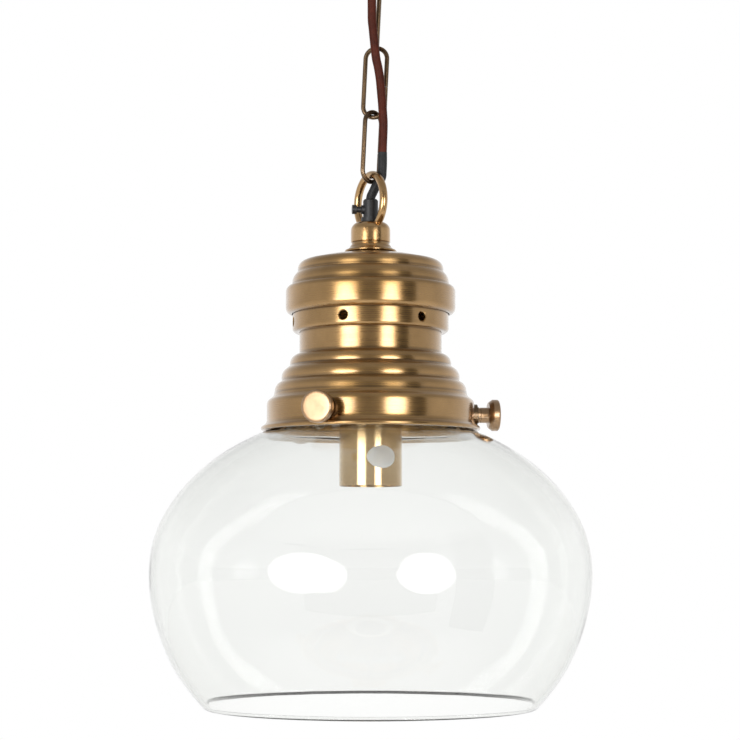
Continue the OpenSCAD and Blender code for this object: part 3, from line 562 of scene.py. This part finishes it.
dome = [(0, BASE_TOP)] + bend(BASE_R - 6, BASE_TOP - 6, 6, 90, 2, 0.6)
dome += [(BASE_R, BASE_TOP - 9), (BASE_R, BASE_Z + 0.5), (BASE_R - 0.5, BASE_Z), (0, BASE_Z)]
loop = turned("cast_loop", dome, steps=96, closed=False)
deselect()
bpy.ops.mesh.primitive_torus_add(
    major_radius=RING_R * MM, minor_radius=RING_WIRE / 2 * MM, major_segments=120, minor_segments=36,
    location=lamp_point(0, 0, RING_Z), rotation=(radians(90), 0, radians(RING_TURN)))
bpy.ops.object.transform_apply(location=True, rotation=True, scale=True)
carve(loop, bpy.context.object, "UNION")
carve(loop, rod(TUBE_R, lamp_point(0, 0, BASE_Z - 1), lamp_point(0, 0, BASE_TOP + 2), 72))
finish_piece(loop, polished_brass, "lamp", "aged_brass", "suspension_loop", crease=40)

# %% [markdown]
# A chain link is one length of wire, bent round and left with an open butt joint. In edit mode a torus becomes a link:
# the faces of its upper half are extruded straight up, which draws out the two limbs, and
# two bisecting cuts take the thin slice at the joint.

# %% Chain links
LINK_L, LINK_W, LINK_WIRE, LINK_SLOT = 52.0, 18.4, 3.2, 0.5
CHAIN_LEAN, HANG_GAP = 2.8, 0.3
HOOK_R, HOOK_WIRE, HOOK_WIRE_Z = 9.0, 4.5, -60.35
BOW_R = (LINK_W - LINK_WIRE) / 2
LIMB = LINK_L - LINK_WIRE - 2 * BOW_R
LINK_STEP = LINK_L - 2 * LINK_WIRE - HANG_GAP
UPPER_FOOT = HOOK_WIRE / 2 + LINK_WIRE / 2 + HANG_GAP - (LINK_L - LINK_WIRE)


def select_faces(piece, chosen):
    """Selects the faces whose middle passes the test, in edit mode."""
    bpy.ops.object.mode_set(mode="EDIT")
    bpy.ops.mesh.select_mode(type="FACE")
    bpy.ops.mesh.select_all(action="DESELECT")
    bpy.ops.object.mode_set(mode="OBJECT")
    for face in piece.data.polygons:
        face.select = chosen(face.center)
    bpy.ops.object.mode_set(mode="EDIT")


def chain_link(name, foot, turn):
    deselect()
    bpy.ops.mesh.primitive_torus_add(
        major_radius=BOW_R * MM, minor_radius=LINK_WIRE / 2 * MM, major_segments=64, minor_segments=24,
        location=(0, 0, 0), rotation=(radians(90), 0, 0))
    bpy.ops.object.transform_apply(location=True, rotation=True, scale=True)
    piece = bpy.context.object
    piece.name = name
    select_faces(piece, lambda middle: middle.z > 0)
    bpy.ops.mesh.extrude_region_move(TRANSFORM_OT_translate={"value": (0, 0, LIMB * MM)})
    joint = LIMB * 0.4 * MM
    for height in (joint, joint + LINK_SLOT * MM):
        select_faces(piece, lambda middle: middle.x > 0 and 0 < middle.z < LIMB * MM)
        bpy.ops.mesh.bisect(plane_co=(0, 0, height), plane_no=(0, 0, 1))
    select_faces(piece, lambda middle: middle.x > 0 and joint < middle.z < joint + LINK_SLOT * MM)
    bpy.ops.mesh.delete(type="FACE")
    bpy.ops.mesh.select_mode(type="EDGE")
    bpy.ops.mesh.select_all(action="DESELECT")
    bpy.ops.mesh.select_non_manifold()
    bpy.ops.mesh.edge_face_add()
    bpy.ops.mesh.select_all(action="SELECT")
    bpy.ops.mesh.normals_make_consistent(inside=False)
    bpy.ops.object.mode_set(mode="OBJECT")
    lean = Matrix.Rotation(radians(CHAIN_LEAN), 4, "Y")
    lift = Matrix.Translation((0, 0, (foot + BOW_R) * MM))
    piece.data.transform(
        Matrix.Translation((0, 0, HOOK_WIRE_Z * MM)) @ lean @ lift @ Matrix.Rotation(radians(turn), 4, "Z"))
    return piece


for name, foot, turn in (
    ("upper_link", UPPER_FOOT, 90), ("middle_link", UPPER_FOOT - LINK_STEP, -12),
    ("lower_link", UPPER_FOOT - 2 * LINK_STEP, 43),
):
    link = chain_link(f"wire_{name}", foot, turn)
    finish_piece(link, wire_brass, name, "dark_brass", name, crease=50)

# %% [markdown]
# Each thumbscrew is turned from bar: a flat head with eased edges, a hub with a small collar, and the screw itself.
# One profile is turned three times, each about its own axis, so every screw has its own mesh.

# %% Thumbscrews
HEAD_R, HEAD_H, HUB_R, HUB_H, SHANK_R = 10.8, 7.3, 5.3, 7.5, 2.5
TIP, HUB = 62.4, 74.0
HEAD = HUB + HUB_H

screw_face = [(0, TIP), (SHANK_R - 0.5, TIP), (SHANK_R, TIP + 0.5), (SHANK_R, HUB), (HUB_R + 0.2, HUB)]
screw_face += [(HUB_R + 0.2, HUB + 1.0), (HUB_R - 0.3, HUB + 1.2), (HUB_R - 0.3, HUB + 1.7)]
screw_face += [(HUB_R, HUB + 2.0), (HUB_R, HEAD - 0.4)] + bend(HUB_R + 0.4, HEAD - 0.4, 0.4, 180, 90, 0.2)
screw_face += [(HEAD_R - 2.2, HEAD), (HEAD_R - 1.9, HEAD + 0.2), (HEAD_R - 0.2, HEAD + 2.5), (HEAD_R, HEAD + 2.8)]
screw_face += [(HEAD_R, HEAD + HEAD_H - 1.6)] + bend(HEAD_R - 1.5, HEAD + HEAD_H - 1.5, 1.5, 10, 75, 0.4)
screw_face += [(HEAD_R - 2.4, HEAD + HEAD_H), (HEAD_R * 0.5, HEAD + HEAD_H), (0, HEAD + HEAD_H)]
for k, turn in enumerate(SCREW_TURNS, 1):
    way = Vector((cos(radians(turn)), sin(radians(turn)), 0))
    screw = turned(
        f"turned_thumbscrew_{k}", screw_face, steps=96, closed=False,
        origin=lamp_point(0, 0, SCREW_Z), along=way, out=(0, 0, 1))
    finish_piece(screw, screw_brass, f"thumbscrew_{k}", "aged_brass", f"thumbscrew_{k}", crease=25)

# %% [markdown]
# The shade is blown into a mould and cut, and its mouth is ground and fire-polished, so its wall is even and its edge
# is round. Clear soda glass refracts at 1.5 and looks faintly green only where the eye
# looks along the wall. Both faces are modelled, because the two of them bend and mirror the light together.

# %% Glass shade
GLASS_R, GLASS_WALL, UPPER_H, LOWER_H = 150.0, 3.5, 110.0, 136.0
GLASS_NECK_R, COVE_R, BEAD_R = 61.0, 5.0, 2.6
SHOULDER_GAP, MOUTH_D = 1.8, 225.0
BEAD_Z = SCREW_Z + 3.2 + 0.3 + BEAD_R
BELLY_Z = -(UPPER_H * sqrt(1 - (FLANGE_R / GLASS_R) ** 2) + SHOULDER_GAP)
COVE_END = 250
cove_x = GLASS_NECK_R + COVE_R
shoulder_turn = degrees(acos((cove_x + COVE_R * cos(radians(COVE_END))) / GLASS_R))
cove_z = BELLY_Z + UPPER_H * sin(radians(shoulder_turn)) - COVE_R * sin(radians(COVE_END))
mouth_turn = degrees(acos(MOUTH_D / 2 / GLASS_R))


# The flatter upper ellipse runs into the deeper lower one over this many degrees each way, so that no reflection
# breaks at the widest place
BELLY_BLEND = 30


def bulge(start, end, parts):
    """Points down the belly, about the lamp's axis."""
    points = []
    for k in range(parts + 1):
        turn = start + (end - start) * k / parts
        share = min(max((turn + BELLY_BLEND) / (2 * BELLY_BLEND), 0), 1)
        height = LOWER_H + (UPPER_H - LOWER_H) * share * share * (3 - 2 * share)
        points.append((GLASS_R * cos(radians(turn)), BELLY_Z + height * sin(radians(turn))))
    return points


glass_face = [(GLASS_NECK_R, BEAD_Z - BEAD_R - 0.05), (GLASS_NECK_R, BEAD_Z - BEAD_R - 3)]
glass_face += bend(cove_x, cove_z, COVE_R, 180, COVE_END, 0.8)
glass_face += bulge(shoulder_turn - 1, -mouth_turn, 88)
glass_back = moved_in(glass_face, GLASS_WALL)
mouth_out, mouth_in = Vector(glass_face[-1]), Vector(glass_back[-1])
mouth_middle, mouth_half = (mouth_out + mouth_in) / 2, (mouth_out - mouth_in) / 2
mouth_way = Vector((-mouth_half.y, mouth_half.x))
mouth_edge = [
    tuple(mouth_middle + mouth_half * cos(a) - mouth_way * sin(a) * 0.25)
    for a in (radians(18 * k) for k in range(1, 10))
]
glass_top = [(GLASS_NECK_R - GLASS_WALL, BEAD_Z + 0.4), (GLASS_NECK_R - GLASS_WALL + 0.7, BEAD_Z + 1.6)]
glass_top += bend(GLASS_NECK_R + 0.3, BEAD_Z, BEAD_R, 118, -94, 0.5)
glass = turned("blown_shade", glass_top + glass_face + mouth_edge + glass_back[::-1], steps=240)

clear_glass, tree, bsdf = new_material(
    "clear_soda_glass", Base_Color=colour("#ffffff"), Roughness=0.0, IOR=1.5, Transmission_Weight=1.0)
absorb = add_node(tree, "ShaderNodeVolumeAbsorption", {"Color": colour("#cdd6c6"), "Density": 26.0})
tree.links.new(absorb.outputs["Volume"], tree.nodes["Material Output"].inputs["Volume"])
place = add_node(tree, "ShaderNodeTexCoord").outputs["Object"]
wave = add_node(tree, "ShaderNodeTexNoise", {"Vector": place, "Scale": 14, "Detail": 2}).outputs["Fac"]
bump = add_node(tree, "ShaderNodeBump", {"Height": wave, "Strength": 0.12, "Distance": 1.5 * MM})
tree.links.new(bump.outputs["Normal"], bsdf.inputs["Normal"])
finish_piece(glass, clear_glass, "lamp", "clear_glass", "glass_shade", crease=60)

# %% [markdown]
# Everything else that shows keeps its CAD shape and takes a finish of its own.

# %% Finishes for the CAD pieces
zinc_steel = cast_brass("zinc_plated_steel", "#8f9194", "#a9abad", 0.38, 0.9, 0.2, 0.0)
plain_parts = {
    "black_nylon": ("#161618", "#232325", 0.45, 700, 0.2),
    "white_nylon": ("#dcdad2", "#eceae3", 0.5, 500, 0.1),
    "wire_insulation": ("#5a4426", "#74592f", 0.45, 400, 0.05),
    "socket_ceramic": ("#e4dfd3", "#efebe2", 0.2, 250, 0.05),
    "soft_end": ("#cfcbc0", "#dedbd1", 0.6, 500, 0.1),
    "paper": ("#eeedea", "#f8f7f4", 0.7, 900, 0.15),
}
skins = {"zinc_steel": zinc_steel, "aged_brass": aged_brass, "dark_brass": screw_brass, "screw_brass": screw_brass,
         "clear_glass": clear_glass, "brown_flex": flex_pvc, "black_sleeve": sleeve_skin}
for name, (deep, pale, rough, scale, relief) in plain_parts.items():
    made, tree, bsdf = new_material(f"moulded_{name}", Roughness=rough)
    place = add_node(tree, "ShaderNodeTexCoord").outputs["Object"]
    grain = add_node(tree, "ShaderNodeTexNoise", {"Vector": place, "Scale": scale, "Detail": 3}).outputs["Fac"]
    tree.links.new(ramp(tree, grain, [(0.3, deep), (0.7, pale)]), bsdf.inputs["Base Color"])
    bump = add_node(tree, "ShaderNodeBump", {"Height": grain, "Strength": relief, "Distance": 0.1 * MM})
    tree.links.new(bump.outputs["Normal"], bsdf.inputs["Normal"])
    skins[name] = made

slots = {part["node"]: part["material_slot"] for part in frame["record"]["subparts"]}
own_skins = {"holder_cover": holder_brass, "screw_bushes": wire_brass}
for node, piece in frame["nodes"].items():
    for place in piece.material_slots:
        place.material = own_skins.get(node, skins[slots[node]])
print("finished", len(frame["nodes"]), "CAD nodes in", len(skins), "finishes")

# %% [markdown]
# The picture is taken in a pale studio. Two tall soft boxes stand to the left and right of the camera and draw the
# two bright streaks down the brass. Between and beyond them the studio is dim, which gives
# metal its dark bands. The background is white to the camera, and to what glass and metal show.

# %% Studio


SOFTBOX_AWAY, SOFTBOX_TALL = 2.0, 1.0


def softbox(name, turn, width, shape, power):
    """A soft light at an angle round the lamp, 0 towards the camera and positive to the right.

    Its cloth is brightest in the middle and fades towards the frame.
    """
    aim = lamp_point(0, 0, 0)
    a = radians(turn)
    spot = aim + Vector((sin(a), -cos(a), 0)) * SOFTBOX_AWAY
    bpy.ops.object.light_add(type="AREA", location=spot)
    light = bpy.context.object
    light.name = name
    light.data.shape = shape
    light.data.size, light.data.size_y = width, SOFTBOX_TALL
    light.data.energy = power
    light.data.use_nodes = True
    tree = light.data.node_tree
    place = add_node(tree, "ShaderNodeNewGeometry").outputs["Parametric"]
    away = add_node(tree, "ShaderNodeVectorMath", {0: place, 1: (0.5, 0.5, 0)}, operation="DISTANCE").outputs["Value"]
    cloth = add_node(
        tree, "ShaderNodeMapRange", {"Value": away, "From Min": 0.3, "From Max": 0.56, "To Min": 1.0, "To Max": 0.0},
        interpolation_type="SMOOTHSTEP").outputs["Result"]
    tree.links.new(cloth, tree.nodes["Emission"].inputs["Strength"])
    light.rotation_euler = (aim - spot).to_track_quat("-Z", "Y").to_euler()
    return light


softbox("left_softbox", -33, 1.3, "ELLIPSE", 33)
softbox("right_softbox", 27, 0.95, "RECTANGLE", 31)


def stage_plane(name, skin, size, location, rotation=(0, 0, 0)):
    deselect()
    bpy.ops.mesh.primitive_plane_add(size=1, location=location, rotation=rotation)
    plane = bpy.context.object
    plane.name = name
    plane.scale = (size[0], size[1], 1)
    bpy.ops.object.transform_apply(location=True, rotation=True, scale=True)
    plane.data.materials.append(skin)
    return plane


def only_in_gloss(plane):
    """Seen in reflections alone, so that it neither stands in another view nor shades the lamp."""
    plane.visible_camera = plane.visible_diffuse = plane.visible_transmission = plane.visible_shadow = False


# Both glow a little of themselves, so that their tone in the metal doesn't hang on the lamps
front_room, tree, bsdf = new_material(
    "dim_front_room_wall", Base_Color=colour("#4c4a48"), Emission_Color=colour("#f4f0ea"), Emission_Strength=0.28)
dark_card, tree, bsdf = new_material(
    "dark_card", Base_Color=colour("#2c2a28"), Emission_Color=colour("#f4f0ea"), Emission_Strength=0.1)
only_in_gloss(stage_plane("dim_front_room", front_room, (3.4, 3.6), (LAMP.x, -2.6, LAMP.z), (radians(90), 0, 0)))
FLAG_TURN, FLAG_AWAY = 52, 2.0
flag_spot = (FLAG_AWAY * sin(radians(FLAG_TURN)), -FLAG_AWAY * cos(radians(FLAG_TURN)), LAMP.z)
only_in_gloss(stage_plane("side_flag", dark_card, (0.75, 2.4), flag_spot, (radians(90), 0, radians(FLAG_TURN))))

FLOOR_GLOW, WORLD_LIGHT = 0.72, 0.22
floor_skin, tree, bsdf = new_material("pale_floor", Base_Color=colour("#f2f1ee"), Roughness=0.9)
# It reaches far to the front, for the views from behind, and stays below the photograph's frame at the back
stage_plane("floor", floor_skin, (40, 24), (0, -7.5, LAMP.z - 1.3))
path = add_node(tree, "ShaderNodeLightPath")
seen = add_node(tree, "ShaderNodeMath", {0: path.outputs["Is Camera Ray"], 1: path.outputs["Is Glossy Ray"]},
                operation="MAXIMUM").outputs["Value"]
seen = add_node(tree, "ShaderNodeMath", {0: seen, 1: path.outputs["Is Transmission Ray"]},
                operation="MAXIMUM").outputs["Value"]
white = add_node(tree, "ShaderNodeEmission", {"Color": (1, 1, 1, 1), "Strength": FLOOR_GLOW}).outputs["Emission"]
both = add_node(tree, "ShaderNodeAddShader", {0: bsdf.outputs["BSDF"], 1: white}).outputs["Shader"]
mixed = add_node(tree, "ShaderNodeMixShader", {"Fac": seen, 1: bsdf.outputs["BSDF"], 2: both}).outputs["Shader"]
tree.links.new(mixed, tree.nodes["Material Output"].inputs["Surface"])

world = bpy.data.worlds.new("white_studio")
bpy.context.scene.world = world
world.use_nodes = True
tree = world.node_tree
path = add_node(tree, "ShaderNodeLightPath")
seen = add_node(tree, "ShaderNodeMath", {0: path.outputs["Is Camera Ray"], 1: path.outputs["Is Glossy Ray"]},
                operation="MAXIMUM").outputs["Value"]
seen = add_node(tree, "ShaderNodeMath", {0: seen, 1: path.outputs["Is Transmission Ray"]},
                operation="MAXIMUM").outputs["Value"]
# White straight behind the lamp, less to the sides and the front, where the studio's walls are, and a dim ceiling
way = add_node(tree, "ShaderNodeTexCoord").outputs["Generated"]
apart = add_node(tree, "ShaderNodeSeparateXYZ", {"Vector": way})
sides = add_node(
    tree, "ShaderNodeMapRange",
    {"Value": apart.outputs["Y"], "From Min": 0.2, "From Max": 0.75, "To Min": 0.76, "To Max": 1.0}).outputs["Result"]
ceiling = add_node(
    tree, "ShaderNodeMapRange",
    {"Value": apart.outputs["Z"], "From Min": 0.2, "From Max": 0.6, "To Min": 1.0, "To Max": 0.58}).outputs["Result"]
walls = add_node(tree, "ShaderNodeMath", {0: sides, 1: ceiling}, operation="MULTIPLY").outputs["Value"]
shown = add_node(tree, "ShaderNodeMath", {0: walls, 1: path.outputs["Is Camera Ray"]},
                 operation="MAXIMUM").outputs["Value"]
strength = add_node(
    tree, "ShaderNodeMapRange", {"Value": seen, "To Min": WORLD_LIGHT, "To Max": shown}).outputs["Result"]
tree.links.new(strength, tree.nodes["Background"].inputs["Strength"])
tree.nodes["Background"].inputs["Color"].default_value = (1, 1, 1, 1)
bpy.context.scene.view_settings.view_transform = "Standard"
print("studio ready")
